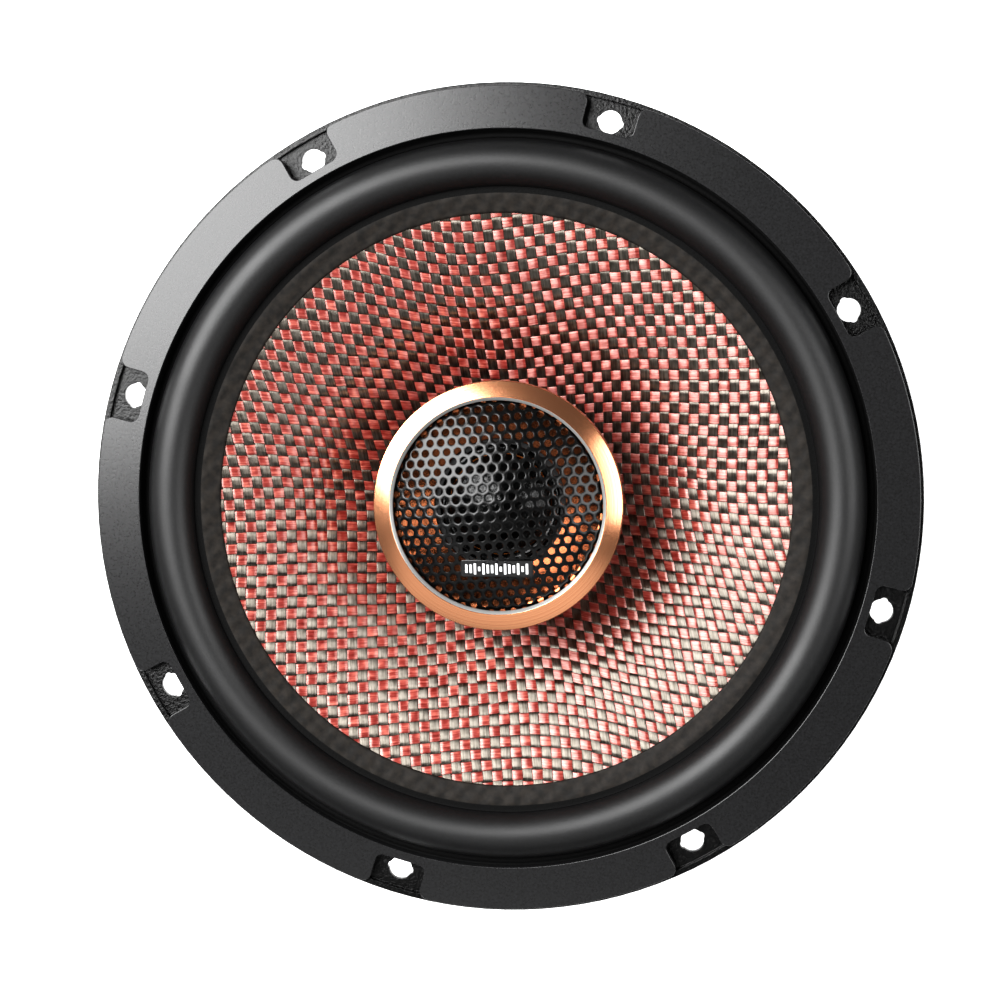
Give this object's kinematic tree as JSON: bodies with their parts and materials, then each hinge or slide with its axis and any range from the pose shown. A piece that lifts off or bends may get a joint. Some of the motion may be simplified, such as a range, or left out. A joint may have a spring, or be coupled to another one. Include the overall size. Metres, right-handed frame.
{
  "type": "coaxial car speaker",
  "caption": "Round coaxial car speaker with a woven cone and rubber surround in a steel basket, and a dome tweeter behind a domed grille on a centre post.",
  "frame": {"origin": "on the speaker's axis, in the plane of the mounting flange's rear face, which is the centre of the bolt circle", "axes": "+Z along the axis out of the front; +X to the right and +Y up as the front is looked at, with the tweeter badge at the bottom"},
  "size_m": [0.165, 0.165, 0.0818],
  "materials": {
    "painted_steel": "satin black powder coat, slightly rough",
    "gasket_rubber": "moulded matte black rubber",
    "surround_rubber": "matte butyl rubber",
    "spider_cloth": "phenolic-dipped cotton",
    "zinc_plated_steel": "clear zinc plate",
    "ferrite": "ground sintered ferrite",
    "boot_rubber": "moulded soft rubber",
    "rivet_metal": "bright zinc",
    "phenolic_board": "laminated phenolic sheet",
    "brass_tab": "bright brass",
    "tinned_tab": "tinned",
    "capacitor_sleeve": "shrunk vinyl sleeve",
    "glue": "translucent amber adhesive",
    "tinsel_braid": "braided copper tinsel",
    "wire_insulation": "PVC insulation, one red and one black",
    "post_plastic": "glass-filled nylon",
    "copper_anodised_aluminium": "turned, copper anodised, satin with a bright cut edge",
    "black_mesh": "perforated steel, semi-gloss black",
    "badge_plastic": "gloss black with a bright outline",
    "black_plastic": "fine moulded texture",
    "coated_silk": "doped silk",
    "nickel_plated_magnet": "nickel plate",
    "felt": "wool felt",
    "woven_glass_cloth": "resin-cured plain weave of red and grey glass tows",
    "polyimide_film": "amber film",
    "copper_winding": "enamelled copper wire"
  },
  "bodies": {
    "frame": {"basket": "painted_steel", "front_gasket": "gasket_rubber", "surround": "surround_rubber", "spider": "spider_cloth", "front_plate": "zinc_plated_steel", "ferrite_magnet": "ferrite", "yoke": "zinc_plated_steel", "magnet_boot": "boot_rubber", "plate_rivets": "rivet_metal", "terminal_board": "phenolic_board", "positive_tab": "brass_tab", "negative_tab": "tinned_tab", "board_rivets": "rivet_metal", "crossover_capacitor": "capacitor_sleeve", "capacitor_glue": "glue", "capacitor_lead": "tinned_tab", "positive_tinsel_lead": "tinsel_braid", "negative_tinsel_lead": "tinsel_braid", "tweeter_wires": "wire_insulation", "tweeter_post": "post_plastic", "post_nut": "rivet_metal", "tweeter_housing": "copper_anodised_aluminium", "housing_screws": "rivet_metal", "tweeter_bezel": "copper_anodised_aluminium", "tweeter_horn": "copper_anodised_aluminium", "tweeter_grille": "black_mesh", "tweeter_badge": "badge_plastic", "tweeter_faceplate": "black_plastic", "tweeter_suspension": "coated_silk", "tweeter_pot": "zinc_plated_steel", "tweeter_magnet": "nickel_plated_magnet", "tweeter_pole_plate": "zinc_plated_steel", "tweeter_felt": "felt"},
    "cone_assembly": {"cone": "woven_glass_cloth", "coil_former": "polyimide_film", "voice_coil": "copper_winding"},
    "tweeter_diaphragm": {"tweeter_dome": "coated_silk", "tweeter_former": "polyimide_film", "tweeter_winding": "copper_winding"}
  },
  "joints": [
    {"name": "cone_travel", "type": "slide", "parent": "frame", "child": "cone_assembly", "axis": [0, 0, 1], "range_m": [-0.004, 0.004], "stiffness_N_per_m": 2000, "deforming": ["surround", "spider", "positive_tinsel_lead", "negative_tinsel_lead"]},
    {"name": "tweeter_dome_travel", "type": "slide", "parent": "frame", "child": "tweeter_diaphragm", "axis": [0, 0, 1], "range_m": [-0.0003, 0.0003], "stiffness_N_per_m": 100, "deforming": ["tweeter_suspension"]}
  ]
}
